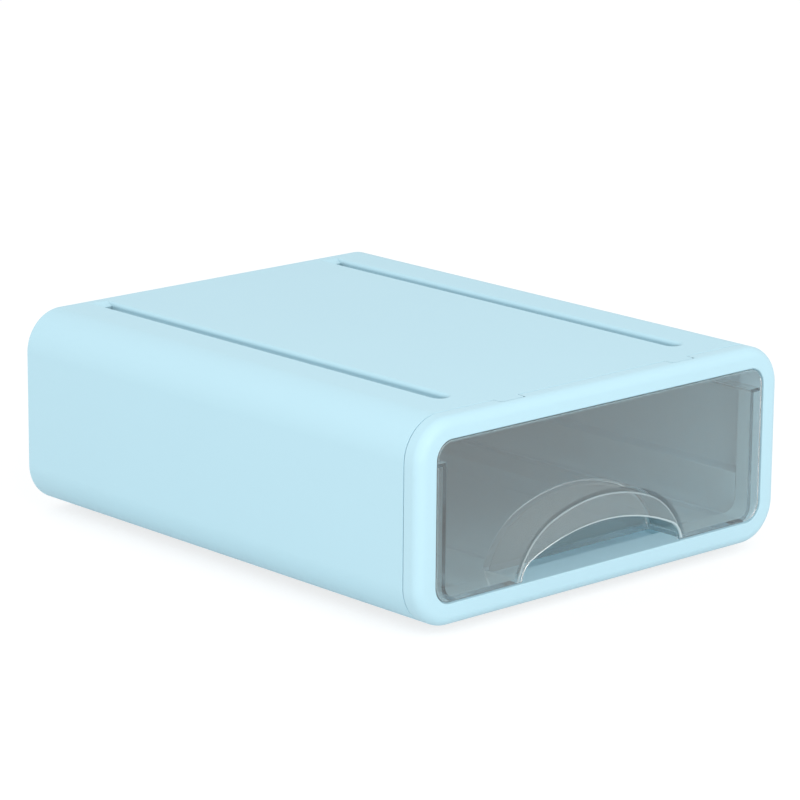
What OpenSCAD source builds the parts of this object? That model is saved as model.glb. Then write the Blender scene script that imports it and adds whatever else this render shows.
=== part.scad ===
// Stackable drawer box: a moulded shell closed by a separate front frame, with a clear
// drawer that slides out to the front on rails, and rubber feet that stand in the top
// grooves of the box below.
// Millimetres. X runs across the front, Y towards the back and Z up. The origin is at the
// middle of the footprint, on the surface that the feet stand on.

/* [Box] */
// Width over the sides
box_w = 250; // [210:1:320]
// Depth from the frame's face to the back
box_d = 300; // [220:1:400]
// Height from the underside to the top, without the stacking ribs and feet
box_h = 103; // [92:1:160]
// Radius of the four long outer corners
corner_r = 21.4; // [16:0.1:26]
// Wall thickness of the shell
shell_wall = 2.2; // [1.8:0.1:3]
// Thickness of the back wall
back_wall = 2.4; // [1.8:0.1:4]
// Radius of the edge round the back wall
back_edge_r = 0.8; // [0.4:0.1:1.4]

/* [Front frame] */
// Depth of the frame's outside, from its face to the seam with the shell
frame_d = 10.6; // [9:0.1:14]
// Radius of the frame's outer front edge
frame_edge_r = 5.5; // [2:0.1:6.5]
// Thickness of the frame's face
face_t = 2.6; // [2:0.1:4]
// Width of the face beside the opening
border_side = 11.5; // [9:0.1:16]
// Width of the face above the opening
border_top = 10.6; // [9:0.1:16]
// Width of the face below the opening
border_bottom = 11.6; // [10:0.1:18]
// Corner radius of the opening
opening_r = 9.9; // [6:0.1:12]
// Depth of the sleeve round the opening, from the face
sleeve_d = 18; // [16:0.5:26]
// Wall thickness of the sleeve
sleeve_wall = 2; // [1.6:0.1:2.6]
// Length of the rim that locates the frame inside the shell
rim_d = 6; // [5:0.5:7]
// Wall thickness of that rim
rim_wall = 1.8; // [1.4:0.1:2.2]
// Width of the visible seam between the frame and the shell
seam_gap = 0.4; // [0.1:0.05:0.6]
// Clearance between the frame's rim and the shell
frame_gap = 0.15; // [0.05:0.05:0.3]

/* [Snap fit] */
// Width of the tongues that key the shell into the frame
tab_w = 15.6; // [12:0.1:26]
// Width of the slanted corners at a tongue's tip
tab_corner = 1; // [0.4:0.1:2]
// Distance of the tongues' tips behind the frame's face
tab_tip = 5.7; // [5:0.1:7]
// Distance of a tongue's middle from the side of the box
tab_inset = 66; // [50:1:80]
// Height of the snap bumps on the frame's rim
bump_h = 0.7; // [0.4:0.1:1]
// Length of the snap bumps, front to back
bump_d = 2; // [1.5:0.1:2.5]
// Distance of the snap bumps behind the frame's seam
bump_back = 2; // [1:0.1:2.4]

/* [Stacking] */
// Width of the grooves in the top, between their walls
groove_w = 7.8; // [7:0.1:12]
// Depth of the grooves
groove_depth = 4.6; // [3.5:0.1:6]
// Radius of the edges along a groove's bottom
groove_r = 2; // [1:0.1:2.4]
// Radius of the lips along a groove's upper edges
groove_lip_r = 2.4; // [0.5:0.1:2.8]
// Distance of a groove's middle from the side of the box
groove_inset = 44.2; // [40:0.1:60]
// Distance of the grooves' round front ends from the frame's face
groove_front = 29.9; // [26:0.1:50]
// Distance of the grooves' square back ends from the back
groove_back = 11; // [8:0.5:40]
// Length of the ramp behind each groove
lead_l = 5.6; // [2:0.1:6]
// Depth of that ramp where it meets the groove
lead_depth = 1.8; // [0.5:0.1:2.4]
// Clearance between a stacking rib and the sides of the groove that it enters
stack_gap = 0.5; // [0.3:0.05:0.8]
// Height of one box's underside above the top of the box below
stack_rise = 0.2; // [0.1:0.1:1]

/* [Feet] */
// Height that a rubber foot stands out of its rib
foot_proud = 0.9; // [0.5:0.1:1.2]
// Depth of the seat that holds a foot
foot_seat = 1.8; // [1:0.1:2]
// Length of a foot
foot_l = 36; // [20:1:60]
// Width of the rib on each side of a foot
foot_rim = 1.2; // [1:0.1:1.6]
// Distance of a foot from the end of its rib
foot_end = 4; // [3:0.5:10]
// Clearance round a foot in its seat
foot_gap = 0.1; // [0.05:0.05:0.3]

/* [Runners] */
// Height of the side guides above the underside of the box
guide_h = 33.1; // [26:0.1:40]
// Width of a floor rail
rail_w = 9.7; // [7:0.1:14]
// Wall thickness of the side guides and floor rails
runner_wall = 2; // [1.6:0.1:2.4]
// Clearance between the front frame and the runners behind it
runner_gap = 0.4; // [0.3:0.1:1]

/* [Drawer] */
// Clearance between the drawer and the opening, on every side
drawer_gap = 0.4; // [0.3:0.05:0.8]
// Distance of the drawer's front behind the frame's face
drawer_recess = 0.4; // [0:0.1:2]
// Thickness of the drawer's front
front_t = 3; // [2.4:0.1:4]
// Radius of the edge round the drawer's front
front_edge_r = 1.2; // [0.5:0.1:1.6]
// Thickness of the drawer's sides, back and floor
tray_wall = 2.3; // [1.8:0.1:3]
// Distance of the drawer's sides from the sides of its front
tray_inset = 5.1; // [4:0.1:8]
// Radius of the drawer's long bottom corners
tray_r = 8; // [5:0.5:12]
// Radius of the drawer's upright back corners
tray_back_r = 6; // [4:0.5:12]
// Distance of the drawer's rim below the top of its front
rim_drop = 11; // [6:0.5:20]
// Thickness of the lip round the drawer's rim
lip_t = 1.8; // [1.4:0.1:2.6]
// Distance of the lip's side edges inside the sides of the drawer's front
lip_inset = 0.5; // [0.2:0.1:1.5]
// Width of the lip along the back
lip_back = 2; // [1:0.5:6]
// Clearance between the drawer's lip and the back wall
back_gap = 0.4; // [0.3:0.1:2]

/* [Finger pull] */
// Width of the recess for the fingers, at its widest
pull_w = 118.4; // [90:0.2:130]
// Height of that recess
pull_h = 33.6; // [30:0.1:44]
// Depth of that recess behind the drawer's front
pull_d = 21; // [16:0.5:34]
// Radius of the recess's crown
pull_crown_r = 90; // [84:1:160]
// Radius of the recess's shoulders
pull_shoulder_r = 40.8; // [20:0.2:42]
// Width of the arch cut in the drawer's front
arch_w = 111; // [80:1:112]
// Height of that arch
arch_h = 20.5; // [16:0.1:26]
// Radius of the arch's crown
arch_crown_r = 117; // [100:1:180]
// Radius of the arch's shoulders
arch_shoulder_r = 12; // [8:0.5:16]

/* [Hidden] */

$fn = 96;
// Degrees from one point of an arch to the next
arch_step = 4;
// Overlap that joins solids and carries cuts past a face
eps = 0.5;
// Height by which a round lip's middle is raised, so that it meets the top in a clean line
lip_rise = 0.02;

shell_blue = [0.76, 0.90, 0.95];
smoke_clear = [0.55, 0.60, 0.62, 0.45];
rubber_grey = [0.22, 0.23, 0.24];

// The box, from the surface that it stands on upwards and from its face backwards
front_y = -box_d / 2;
back_y = box_d / 2;
under_z = groove_depth + stack_rise;
mid_z = under_z + box_h / 2;
top_z = under_z + box_h;
seam_y = front_y + frame_d;
shell_front_y = seam_y + seam_gap;
cavity_w = box_w - 2 * shell_wall;
cavity_h = box_h - 2 * shell_wall;
cavity_r = corner_r - shell_wall;
cavity_back_y = back_y - back_wall;

// The front frame
opening_w = box_w - 2 * border_side;
opening_h = box_h - border_top - border_bottom;
opening_floor_z = under_z + border_bottom;
opening_mid_z = opening_floor_z + opening_h / 2;
rim_w = cavity_w - 2 * frame_gap;
rim_h = cavity_h - 2 * frame_gap;
rim_r = cavity_r - frame_gap;
rim_back_y = seam_y + rim_d;
sleeve_back_y = front_y + sleeve_d;
tab_x = box_w / 2 - tab_inset;
tab_tip_y = front_y + tab_tip;
bump_y = seam_y + bump_back;

// Grooves, the ribs that enter them, and the feet in the ribs
groove_x = box_w / 2 - groove_inset;
groove_front_y = front_y + groove_front;
groove_back_y = back_y - groove_back;
rib_w = groove_w - 2 * stack_gap;
rib_r = groove_r - stack_gap;
rib_front_y = groove_front_y + stack_gap;
rib_back_y = groove_back_y - stack_gap;
foot_w = rib_w - 2 * foot_rim;
foot_h = foot_proud + foot_seat;
foot_front_y = rib_front_y + foot_end + foot_l / 2;
foot_back_y = rib_back_y - foot_end - foot_l / 2;

// Guides and rails, behind everything that the frame carries
runner_front_y = max(sleeve_back_y, rim_back_y) + runner_gap;
guide_x = opening_w / 2;
guide_top_z = under_z + guide_h;

// The drawer, inside the opening
drawer_y = front_y + drawer_recess;
tray_y = drawer_y + front_t;
drawer_w = opening_w - 2 * drawer_gap;
drawer_h = opening_h - 2 * drawer_gap;
drawer_r = opening_r - drawer_gap;
drawer_floor_z = opening_floor_z + drawer_gap;
tray_w = drawer_w - 2 * tray_inset;
tray_h = drawer_h - rim_drop;
tray_back_y = cavity_back_y - back_gap - lip_back;
lip_side = tray_inset - lip_inset;

// A flat rectangle with round corners, centred on the origin.
module rounded_rect(w, h, r) {
  square([w - 2 * r, h], center = true);
  square([w, h - 2 * r], center = true);
  for (x = [-1, 1], y = [-1, 1])
    translate([x * (w / 2 - r), y * (h / 2 - r)]) circle(r);
}

// A flat U, filled in: it stands on y = 0 and its two lower corners are round.
module u_section(w, h, r) {
  translate([-w / 2, r]) square([w, h - r]);
  translate([r - w / 2, 0]) square([w - 2 * r, h]);
  for (side = [-1, 1]) translate([side * (w / 2 - r), r]) circle(r);
}

// Half section of a slab whose lower outer edge is round.
module soft_edge(r, d, edge_r) {
  square([r - edge_r, d]);
  translate([0, edge_r]) square([r, d - edge_r]);
  intersection() {
    translate([r - edge_r, edge_r]) circle(edge_r);
    square([r, d]);
  }
}

// A slab with round corners that stands on z = 0, with a round lower edge.
module soft_slab(w, h, r, d, edge_r) {
  x = w / 2 - r;
  y = h / 2 - r;
  translate([-x, -y, 0]) cube([2 * x, 2 * y, d]);
  for (corner = [[x, y, 0], [-x, y, 90], [-x, -y, 180], [x, -y, 270]]) {
    side = corner[2] % 180 == 0 ? 2 * y : 2 * x;
    translate([corner[0], corner[1], 0]) rotate([0, 0, corner[2]]) {
      rotate_extrude(angle = 90) soft_edge(r, d, edge_r);
      rotate([90, 0, 0]) linear_extrude(side) soft_edge(r, d, edge_r);
    }
  }
}

// Extrudes a shape drawn in x and z from y0 back to y1.
module to_back(y0, y1) {
  translate([0, y1, 0]) rotate([90, 0, 0]) linear_extrude(y1 - y0) children();
}

// A box given by its lowest and highest corners.
module block(low, high) {
  translate(low) cube(high - low);
}

// Carries a section, drawn in x and z on z = 0, back from y0 to y1 and round its front end.
// The front end's wall turns on a circle of diameter w, and the section is at most reach high
// and reach to each side.
module round_nosed(w, reach, y0, y1) {
  to_back(y0 + w / 2, y1) children();
  translate([0, y0 + w / 2, 0]) rotate_extrude() intersection() {
    children();
    square([reach, reach]);
  }
}

// Draws what stands at x > 0 on both sides of the box.
module both_sides() {
  for (side = [0, 1]) mirror([side, 0, 0]) children();
}

// Draws what stands above z = 0 both above and below the middle of the box.
module top_and_bottom() {
  for (side = [0, 1]) translate([0, 0, mid_z]) mirror([0, 0, side]) children();
}

// Outline of an arch from the foot of its left shoulder to the foot of its right one. The
// shoulders run on past y = 0 where they still spread there.
function arch_points(w, h, crown_r, shoulder_r) =
  let (
    cx = w / 2 - shoulder_r,
    reach = crown_r - shoulder_r,
    turn = asin(cx / reach),
    cy = h - crown_r + reach * cos(turn),
    last = cy < 0 ? acos(-cy / shoulder_r) : 90,
    crown = [for (a = [0 : arch_step : turn]) [crown_r * sin(a), h - crown_r + crown_r * cos(a)]],
    steps = ceil((last - turn) / arch_step),
    shoulder = [for (k = [0 : steps])
      let (a = turn + (last - turn) * k / steps) [cx + shoulder_r * sin(a), cy + shoulder_r * cos(a)]],
    foot = [[cx + shoulder_r * sin(last), -eps]],
    half = concat(crown, shoulder, foot)
  )
  concat([for (i = [len(half) - 1 : -1 : 1]) [-half[i][0], half[i][1]]], half);

// Section of the finger recess, or of the hump round it when it is grown by a wall.
module pull_section(grow) {
  translate([0, drawer_floor_z])
    polygon(arch_points(pull_w + 2 * grow, pull_h + grow, pull_crown_r + grow, pull_shoulder_r + grow));
}

// Section of the frame's opening, grown by a wall.
module opening_section(grow) {
  translate([0, opening_mid_z])
    rounded_rect(opening_w + 2 * grow, opening_h + 2 * grow, opening_r + grow);
}

// Section of the frame's rim, shrunk by a wall.
module rim_section(shrink) {
  translate([0, mid_z]) rounded_rect(rim_w - 2 * shrink, rim_h - 2 * shrink, rim_r - shrink);
}

// Outline of the shell's inside.
module cavity_section() {
  translate([0, mid_z]) rounded_rect(cavity_w, cavity_h, cavity_r);
}

// Section of a groove that is open at the top, between round lips.
module groove_section() {
  u_section(groove_w, groove_depth + eps, groove_r);
  difference() {
    translate([-groove_w / 2 - groove_lip_r, groove_depth - groove_lip_r])
      square([groove_w + 2 * groove_lip_r, groove_lip_r + eps]);
    for (side = [-1, 1])
      translate([side * (groove_w / 2 + groove_lip_r), groove_depth - groove_lip_r + lip_rise])
        circle(groove_lip_r);
  }
}

// A groove, cut into the top.
module groove_cut() {
  translate([groove_x, 0, top_z - groove_depth])
    round_nosed(groove_w, groove_w + groove_depth, groove_front_y, groove_back_y) groove_section();
}

// The trough under the top that holds a groove.
module groove_trough() {
  w = groove_w + 2 * shell_wall;
  intersection() {
    translate([groove_x, 0, top_z - groove_depth - shell_wall])
      round_nosed(w, w + groove_depth, groove_front_y - shell_wall, groove_back_y + shell_wall)
        u_section(w, groove_depth + shell_wall, groove_r + shell_wall);
    block([0, front_y, mid_z], [box_w / 2, back_y, top_z - shell_wall / 2]);
  }
}

// The ramp by which a rib slides into its groove from behind, between the same lips.
module groove_lead() {
  w = groove_w / 2 + groove_lip_r;
  intersection() {
    translate([groove_x, 0, top_z - groove_depth]) to_back(groove_back_y - eps, back_y) groove_section();
    translate([groove_x - w, 0, 0]) rotate([90, 0, 90]) linear_extrude(2 * w)
      polygon([
        [groove_back_y - eps, top_z - lead_depth],
        [groove_back_y, top_z - lead_depth],
        [groove_back_y + lead_l, top_z],
        [groove_back_y + lead_l, top_z + eps],
        [groove_back_y - eps, top_z + eps]
      ]);
  }
}

// A foot's pad, or its seat when it is grown by a clearance, with its middle at y.
module foot_form(y, z0, z1, grow) {
  end = foot_l / 2 - foot_w / 2;
  block([groove_x - foot_w / 2 - grow, y - end, z0], [groove_x + foot_w / 2 + grow, y + end, z1]);
  for (side = [-1, 1])
    translate([groove_x, y + side * end, z0]) cylinder(d = foot_w + 2 * grow, h = z1 - z0);
}

// A stacking rib under the box, with the seats of its two feet.
module stacking_rib() {
  difference() {
    translate([groove_x, 0, foot_proud])
      round_nosed(rib_w, rib_w + under_z, rib_front_y, rib_back_y)
        u_section(rib_w, under_z - foot_proud + eps, rib_r);
    foot_seats();
  }
}

module foot_seats() {
  for (y = [foot_front_y, foot_back_y]) foot_form(y, foot_proud - eps, foot_h, foot_gap);
}

// Hollow guide beside the drawer, open at its front end.
module side_guide() {
  difference() {
    block([guide_x, runner_front_y, under_z], [box_w / 2, cavity_back_y + eps, guide_top_z]);
    block([guide_x + runner_wall, runner_front_y - eps, under_z - eps],
      [box_w / 2 + eps, cavity_back_y, guide_top_z - runner_wall]);
  }
}

// Hollow rail under the drawer, open at its front end, in line with the rib below it.
module floor_rail() {
  x0 = groove_x - rail_w / 2;
  x1 = groove_x + rail_w / 2;
  difference() {
    block([x0, runner_front_y, under_z], [x1, cavity_back_y + eps, opening_floor_z]);
    block([x0 + runner_wall, runner_front_y - eps, under_z + shell_wall],
      [x1 - runner_wall, cavity_back_y, opening_floor_z - runner_wall]);
  }
}

// A tongue of the shell, with slanted corners at its tip.
module tongue() {
  translate([tab_x, 0, top_z - shell_wall]) linear_extrude(shell_wall)
    polygon([
      [-tab_w / 2, shell_front_y + eps],
      [-tab_w / 2, tab_tip_y + tab_corner],
      [tab_corner - tab_w / 2, tab_tip_y],
      [tab_w / 2 - tab_corner, tab_tip_y],
      [tab_w / 2, tab_tip_y + tab_corner],
      [tab_w / 2, shell_front_y + eps]
    ]);
}

// The notch in the frame that a tongue enters.
module notch() {
  block([tab_x - tab_w / 2 - seam_gap, tab_tip_y - seam_gap, mid_z + rim_h / 2],
    [tab_x + tab_w / 2 + seam_gap, seam_y + eps, top_z + eps]);
}

// A ramped snap bump that stands on the rim, drawn from the middle of the box upwards.
module snap_bump() {
  translate([tab_x - tab_w / 2, 0, rim_h / 2]) rotate([90, 0, 90]) linear_extrude(tab_w)
    polygon([
      [bump_y, -rim_wall / 2], [bump_y + bump_d, -rim_wall / 2],
      [bump_y + bump_d, 0], [bump_y, bump_h]
    ]);
}

// The pocket in the shell that a snap bump springs into.
module snap_pocket() {
  block([tab_x - tab_w / 2 - frame_gap, bump_y - frame_gap, cavity_h / 2 - eps],
    [tab_x + tab_w / 2 + frame_gap, bump_y + bump_d + frame_gap, rim_h / 2 + bump_h + frame_gap]);
}

module shell() {
  color(shell_blue) difference() {
    union() {
      difference() {
        translate([0, back_y, mid_z]) rotate([90, 0, 0])
          soft_slab(box_w, box_h, corner_r, back_y - shell_front_y, back_edge_r);
        to_back(shell_front_y - eps, cavity_back_y) cavity_section();
      }
      both_sides() {
        groove_trough();
        intersection() {
          union() {
            side_guide();
            floor_rail();
          }
          to_back(front_y, back_y - back_wall / 2) translate([0, mid_z])
            rounded_rect(box_w - shell_wall, box_h - shell_wall, corner_r - shell_wall / 2);
        }
        tongue();
        stacking_rib();
      }
    }
    both_sides() {
      groove_cut();
      groove_lead();
      foot_seats();
      top_and_bottom() snap_pocket();
    }
  }
}

module front_frame() {
  color(shell_blue) difference() {
    union() {
      difference() {
        union() {
          translate([0, front_y, mid_z]) rotate([-90, 0, 0])
            soft_slab(box_w, box_h, corner_r, frame_d, frame_edge_r);
          to_back(seam_y - eps, rim_back_y) rim_section(0);
        }
        to_back(front_y + face_t, rim_back_y + eps) rim_section(rim_wall);
        both_sides() notch();
      }
      to_back(front_y + face_t / 2, sleeve_back_y) opening_section(sleeve_wall);
      both_sides() top_and_bottom() snap_bump();
    }
    to_back(front_y - eps, sleeve_back_y + eps) opening_section(0);
  }
}

// The drawer's tray seen from above: round upright corners at the back, grown by a wall
// or shrunk by one.
module tray_plan(side, back) {
  w = tray_w + 2 * side;
  r = tray_back_r + min(side, back);
  translate([-w / 2, tray_y - eps]) square([w, tray_back_y + back - r - tray_y + eps]);
  translate([r - w / 2, tray_y - eps]) square([w - 2 * r, tray_back_y + back - tray_y + eps]);
  for (x = [-1, 1]) translate([x * (w / 2 - r), tray_back_y + back - r]) circle(r);
}

// The tray filled in, shrunk by a wall on every side but the top.
module tray_form(shrink, height) {
  intersection() {
    to_back(tray_y - eps, tray_back_y + eps) translate([0, drawer_floor_z + shrink])
      u_section(tray_w - 2 * shrink, height, tray_r - shrink);
    translate([0, 0, drawer_floor_z]) linear_extrude(tray_h + shrink + height) tray_plan(-shrink, -shrink);
  }
}

module lip_form() {
  translate([0, 0, drawer_floor_z + tray_h - lip_t]) linear_extrude(lip_t) tray_plan(lip_side, lip_back);
}

module drawer() {
  color(smoke_clear) difference() {
    union() {
      difference() {
        union() {
          tray_form(0, tray_h);
          lip_form();
        }
        difference() {
          tray_form(tray_wall, tray_h);
          to_back(tray_y - eps, tray_y + pull_d + tray_wall) pull_section(tray_wall);
        }
      }
      translate([0, drawer_y, opening_mid_z]) rotate([-90, 0, 0])
        soft_slab(drawer_w, drawer_h, drawer_r, front_t, front_edge_r);
    }
    to_back(tray_y, tray_y + pull_d) pull_section(0);
    to_back(drawer_y - eps, tray_y + eps) translate([0, drawer_floor_z])
      polygon(arch_points(arch_w, arch_h, arch_crown_r, arch_shoulder_r));
  }
}

// A rubber foot on one side of the box, given as -1 or 1, with its middle at y.
module foot(side, y) {
  color(rubber_grey) mirror([side < 0 ? 1 : 0, 0, 0]) foot_form(y, 0, foot_h, 0);
}

shell();
front_frame();
drawer();
foot(-1, foot_front_y);  // foot_front_left
foot(1, foot_front_y);  // foot_front_right
foot(-1, foot_back_y);  // foot_back_left
foot(1, foot_back_y);  // foot_back_right
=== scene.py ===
"""The looks of a stackable drawer box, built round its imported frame.

Metres, +Z up. The drawer faces -Y, and the origin is in the middle of the footprint.
"""

import math

import bmesh
import bpy
from mathutils import Matrix, Vector


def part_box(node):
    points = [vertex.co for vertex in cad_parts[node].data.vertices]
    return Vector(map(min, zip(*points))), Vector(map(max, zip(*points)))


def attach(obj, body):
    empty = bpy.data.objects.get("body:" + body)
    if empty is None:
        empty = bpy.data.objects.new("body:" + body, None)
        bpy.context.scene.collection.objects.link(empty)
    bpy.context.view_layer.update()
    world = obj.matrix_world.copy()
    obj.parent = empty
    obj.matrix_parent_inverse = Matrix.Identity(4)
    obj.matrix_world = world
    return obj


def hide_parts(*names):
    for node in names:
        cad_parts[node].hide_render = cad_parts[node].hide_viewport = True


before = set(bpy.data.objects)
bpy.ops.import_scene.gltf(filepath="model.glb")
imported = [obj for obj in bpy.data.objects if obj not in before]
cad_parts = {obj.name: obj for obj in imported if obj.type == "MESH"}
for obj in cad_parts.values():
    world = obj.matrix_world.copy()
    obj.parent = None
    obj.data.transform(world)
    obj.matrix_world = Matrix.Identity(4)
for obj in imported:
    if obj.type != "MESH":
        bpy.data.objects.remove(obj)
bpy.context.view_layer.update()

MM = 0.001

# ---------------------------------------------------------------- sizes from the frame

face_lo, face_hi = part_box("front_frame")
shell_lo, shell_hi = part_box("shell")
drawer_lo, drawer_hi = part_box("drawer")
foot_lo, foot_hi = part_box("foot_front_right")
back_foot_lo, back_foot_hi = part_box("foot_back_right")

FACE_Y = face_lo.y
BACK_Y = shell_hi.y
SLEEVE_BACK_Y = face_hi.y
UNDER_Z = face_lo.z
TOP_Z = face_hi.z
MID_Z = (UNDER_Z + TOP_Z) / 2
BOX_W = face_hi.x - face_lo.x
BOX_H = TOP_Z - UNDER_Z
DRAWER_Y = drawer_lo.y
DRAWER_FLOOR_Z = drawer_lo.z
DRAWER_W = drawer_hi.x - drawer_lo.x
DRAWER_H = drawer_hi.z - drawer_lo.z

# ---------------------------------------------------------------- sizes of the mouldings

CORNER_R = 21.4 * MM
SHELL_WALL = 2.2 * MM
BACK_WALL = 2.4 * MM
BACK_EDGE_R = 0.8 * MM
FRAME_D = 10.6 * MM
FRAME_EDGE_R = 5.5 * MM
FACE_T = 2.6 * MM
BORDER_SIDE = 11.5 * MM
BORDER_TOP = 10.6 * MM
BORDER_BOTTOM = 11.6 * MM
OPENING_R = 9.9 * MM
SLEEVE_WALL = 2.0 * MM
RIM_D = 6.0 * MM
RIM_WALL = 1.8 * MM
SEAM_GAP = 0.4 * MM
FRAME_GAP = 0.15 * MM
SEAM_EDGE_R = 0.35 * MM
OPENING_EDGE_R = 0.6 * MM
SLEEVE_END_R = 0.5 * MM

TAB_W = 15.6 * MM
TAB_CORNER = 1.0 * MM
TAB_TIP_Y = FACE_Y + 5.7 * MM
TAB_X = 59 * MM

GROOVE_X = (foot_lo.x + foot_hi.x) / 2
GROOVE_W = 7.8 * MM
GROOVE_DEPTH = 4.6 * MM
GROOVE_R = 2.0 * MM
GROOVE_LIP_R = 2.4 * MM
LIP_RISE = 0.02 * MM
GROOVE_FRONT_Y = FACE_Y + 29.9 * MM
GROOVE_BACK_Y = BACK_Y - 11 * MM
LEAD_L = 5.6 * MM
LEAD_DEPTH = 1.8 * MM
STACK_GAP = 0.5 * MM
RIB_W = GROOVE_W - 2 * STACK_GAP
RIB_R = GROOVE_R - STACK_GAP
RIB_Z = shell_lo.z
FOOT_GAP = 0.1 * MM
FOOT_EDGE_R = 0.35 * MM

GUIDE_H = 33.1 * MM
GUIDE_EDGE_R = 0.8 * MM
RAIL_W = 9.7 * MM
RUNNER_WALL = 2.0 * MM
RUNNER_GAP = 0.4 * MM
RUNNER_EDGE_R = 0.6 * MM

FRONT_T = 3.0 * MM
FRONT_EDGE_R = 1.2 * MM
FRONT_BACK_EDGE_R = 0.4 * MM
DRAWER_R = 9.5 * MM
TRAY_WALL = 2.3 * MM
TRAY_INSET = 5.1 * MM
TRAY_ROOT = FRONT_T / 3
TRAY_R = 8.0 * MM
TRAY_BACK_R = 6.0 * MM
RIM_DROP = 11.0 * MM
LIP_T = 1.8 * MM
LIP_INSET = 0.5 * MM
LIP_BACK = 2.0 * MM
LIP_EDGE_R = 0.5 * MM

PULL = dict(w=118.4 * MM, h=33.6 * MM, crown=90 * MM, shoulder=40.8 * MM)
PULL_D = 21 * MM
PULL_FRONT_R = 0.8 * MM
PULL_END_R = 1.0 * MM
HUMP_END_R = 1.6 * MM
ARCH = dict(w=111 * MM, h=20.5 * MM, crown=117 * MM, shoulder=12 * MM)
ARCH_FRONT_R = 1.0 * MM
ARCH_BACK_R = 0.6 * MM

SEAM_Y = FACE_Y + FRAME_D
SHELL_FRONT_Y = SEAM_Y + SEAM_GAP
CAVITY_W = BOX_W - 2 * SHELL_WALL
CAVITY_H = BOX_H - 2 * SHELL_WALL
CAVITY_R = CORNER_R - SHELL_WALL
CAVITY_BACK_Y = BACK_Y - BACK_WALL
FLOOR_Z = UNDER_Z + SHELL_WALL
OPENING_W = BOX_W - 2 * BORDER_SIDE
OPENING_H = BOX_H - BORDER_TOP - BORDER_BOTTOM
OPENING_FLOOR_Z = UNDER_Z + BORDER_BOTTOM
OPENING_MID_Z = OPENING_FLOOR_Z + OPENING_H / 2
RUNNER_FRONT_Y = SLEEVE_BACK_Y + RUNNER_GAP
TRAY_Y = DRAWER_Y + FRONT_T
TRAY_W = DRAWER_W - 2 * TRAY_INSET
TRAY_TOP_Z = DRAWER_FLOOR_Z + DRAWER_H - RIM_DROP
TRAY_BACK_Y = drawer_hi.y - LIP_BACK

# How far a cutter, or a part that is joined on, runs past the face where it ends
OVER = 0.5 * MM
# The least radius that an inset leaves of a round corner
LEAST_R = 0.05 * MM

# ---------------------------------------------------------------- outlines

# Steps in a round corner of an outline, in an arch's half crown and in its shoulder
CORNER_STEPS = 24
CROWN_STEPS = 18
SHOULDER_STEPS = 24
# Steps in a round edge, from the frame's face to the smallest ones
FACE_EDGE_STEPS = 12
LIP_STEPS = 10
EDGE_STEPS = 6
SMALL_EDGE_STEPS = 4
TINY_EDGE_STEPS = 3
# The largest turn of a step in a rounded path
TURN_STEP = math.radians(6)


def arc(cx, cy, r, start, end, steps):
    """Points of an arc about (cx, cy), angles in degrees."""
    turns = [math.radians(start + (end - start) * k / steps) for k in range(steps + 1)]
    return [(cx + r * math.cos(t), cy + r * math.sin(t)) for t in turns]


def rounded_rect(w, h, r):
    """A rectangle with round corners, centred on the origin."""
    x, y = w / 2 - r, h / 2 - r
    return (
        arc(x, y, r, 0, 90, CORNER_STEPS)
        + arc(-x, y, r, 90, 180, CORNER_STEPS)
        + arc(-x, -y, r, 180, 270, CORNER_STEPS)
        + arc(x, -y, r, 270, 360, CORNER_STEPS)
    )


def rounded_path(corners):
    """A closed outline through corners (x, y, radius), each turned on an arc of its radius."""
    points = []
    for i, (x, y, r) in enumerate(corners):
        here = Vector((x, y))
        if r == 0:
            points.append((x, y))
            continue
        before = Vector(corners[i - 1][:2]) - here
        after = Vector(corners[(i + 1) % len(corners)][:2]) - here
        before.normalize()
        after.normalize()
        half = math.acos(max(-1, min(1, before.dot(after)))) / 2
        reach = r / math.tan(half)
        centre = here + (before + after).normalized() * (r / math.sin(half))
        start = here + before * reach - centre
        end = here + after * reach - centre
        turn = start.angle_signed(end)
        steps = max(2, math.ceil(abs(turn) / TURN_STEP))
        first = math.atan2(start.y, start.x)
        for k in range(steps + 1):
            t = first - turn * k / steps
            points.append((centre.x + r * math.cos(t), centre.y + r * math.sin(t)))
    return points


def u_section(w, h, r, inset):
    """A filled U that stands on y = 0. The inset takes its sides and its bottom in."""
    x, radius = w / 2 - inset, max(r - inset, LEAST_R)
    return (
        [(x, h), (-x, h)]
        + arc(radius - x, inset + radius, radius, 180, 270, CORNER_STEPS // 2)
        + arc(x - radius, inset + radius, radius, 270, 360, CORNER_STEPS // 2)
    )


def arch_section(w, h, crown, shoulder, grow=0.0, foot=-OVER):
    """A flat arch that stands on y = 0 and runs on down to foot, grown by a margin."""
    w, h, crown, shoulder = w + 2 * grow, h + grow, crown + grow, shoulder + grow
    cx = w / 2 - shoulder
    reach = crown - shoulder
    turn = math.asin(cx / reach)
    cy = h - crown + reach * math.cos(turn)
    last = math.acos(-cy / shoulder) if cy < 0 else math.pi / 2
    half = []
    for k in range(CROWN_STEPS):
        t = turn * k / CROWN_STEPS
        half.append((crown * math.sin(t), h - crown + crown * math.cos(t)))
    for k in range(SHOULDER_STEPS + 1):
        t = turn + (last - turn) * k / SHOULDER_STEPS
        half.append((cx + shoulder * math.sin(t), cy + shoulder * math.cos(t)))
    half.append((half[-1][0], foot))
    return [(-x, y) for x, y in reversed(half[1:])] + half


def nosed_outline(w, y0, y1):
    """A long bar seen from above: round front end at y0, square back end at y1."""
    r = w / 2
    return arc(0, y0 + r, r, 180, 360, 2 * CORNER_STEPS) + [(r, y1), (-r, y1)]


def body_outline(inset):
    """The box's outside seen from the front, taken in by an inset."""
    return rounded_rect(BOX_W - 2 * inset, BOX_H - 2 * inset, CORNER_R - inset)


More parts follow.
